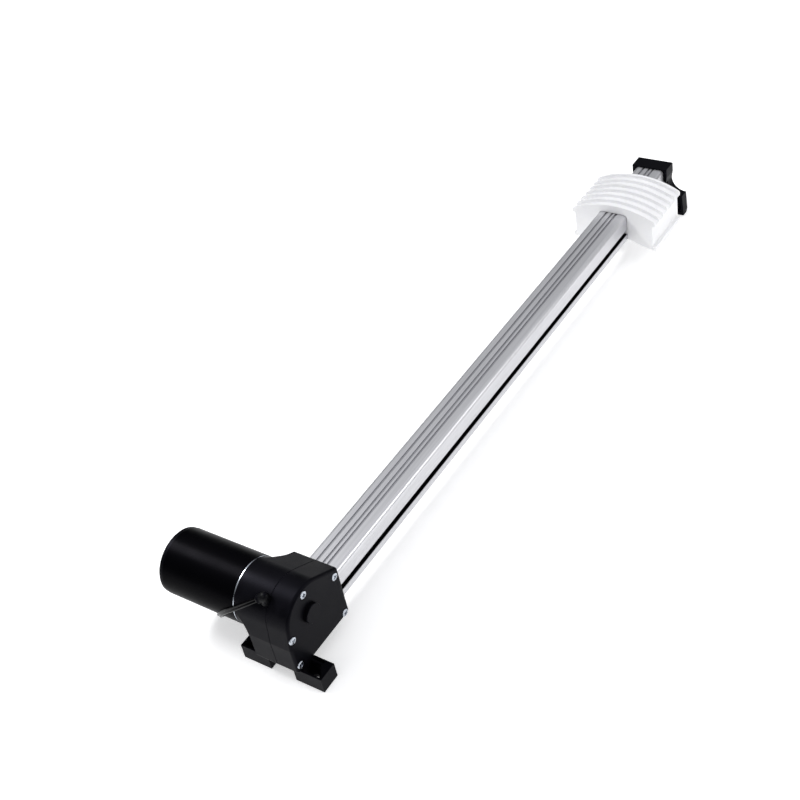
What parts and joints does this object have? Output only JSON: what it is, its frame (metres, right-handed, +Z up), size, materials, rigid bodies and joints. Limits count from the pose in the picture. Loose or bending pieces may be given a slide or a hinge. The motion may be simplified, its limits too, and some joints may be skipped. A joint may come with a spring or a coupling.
{
  "type": "electric linear actuator",
  "caption": "Rail-type electric linear actuator: side-mounted DC motor, worm gearbox on feet, lead screw in an aluminium rail, white ribbed slider and footed end cap.",
  "frame": {"origin": "centre of the gearbox's two foot holes, on the plane under the feet", "axes": "+X along the rail from the gearbox to the end cap, +Y towards the motor, +Z up from the feet"},
  "size_m": [0.7975, 0.2203, 0.0963],
  "materials": {
    "black_nylon": "moulded glass-filled nylon, satin",
    "black_enamel": "black enamel on steel, semi-gloss",
    "white_nylon": "natural white nylon, satin",
    "anodised_aluminium": "extruded, clear anodised",
    "zinc_steel": "zinc plated",
    "bright_steel": "ground bright",
    "bearing_steel": "polished",
    "grey_acetal": "natural acetal",
    "black_rubber": "matt",
    "cable_jacket": "smooth black jacket",
    "ferrite": "sintered ferrite",
    "copper": "enamelled copper",
    "carbon": "carbon brush",
    "circuit_board": "glass epoxy board",
    "laminated_steel": "stacked laminations"
  },
  "bodies": {
    "base": {"gear_cover": "black_nylon", "gear_housing": "black_nylon", "worm_cap": "black_nylon", "cover_screws": "zinc_steel", "worm_end_bearing": "bearing_steel", "screw_front_bearing": "bearing_steel", "screw_rear_bearing": "bearing_steel", "bump_stop_near": "black_rubber", "bump_stop_far": "black_rubber", "rail": "anodised_aluminium", "rail_clamp_screws": "zinc_steel", "switch_strip": "circuit_board", "limit_switches": "black_nylon", "end_cap": "black_nylon", "end_bush": "grey_acetal", "end_cap_screws": "zinc_steel", "motor_front_plate": "zinc_steel", "motor_front_bearing": "bearing_steel", "motor_rear_bearing": "bearing_steel", "motor_mount_screws": "zinc_steel", "motor_can": "black_enamel", "motor_end_bell": "black_nylon", "motor_magnets": "ferrite", "brush_holder": "black_nylon", "brushes": "carbon", "cable_grommet": "black_rubber", "motor_cable": "cable_jacket", "cable_plug": "black_nylon"},
    "rotor": {"motor_shaft": "bright_steel", "armature": "laminated_steel", "armature_windings": "copper", "commutator": "copper", "worm": "bright_steel"},
    "screw": {"lead_screw": "bright_steel", "worm_wheel": "grey_acetal", "screw_collar": "bright_steel"},
    "carriage": {"slider": "white_nylon", "drive_nut": "grey_acetal", "nut_screws": "zinc_steel"}
  },
  "joints": [
    {"name": "rotor_spin", "type": "hinge", "parent": "base", "child": "rotor", "pos_m": [0.0223, 0, 0.063], "axis": [0, 1, 0], "range_deg": [-34560, 806400]},
    {"name": "screw_spin", "type": "hinge", "parent": "base", "child": "screw", "pos_m": [0, 0, 0.042], "axis": [1, 0, 0], "range_deg": [-1440, 33600]},
    {"name": "slider_slide", "type": "slide", "parent": "base", "child": "carriage", "axis": [1, 0, 0], "range_m": [-0.56, 0.024]}
  ],
  "couplings": [
    {"joint": "screw_spin", "follows": "rotor_spin", "ratio": 0.041667},
    {"joint": "slider_slide", "follows": "rotor_spin", "m_per_rad": -0.000039789}
  ]
}
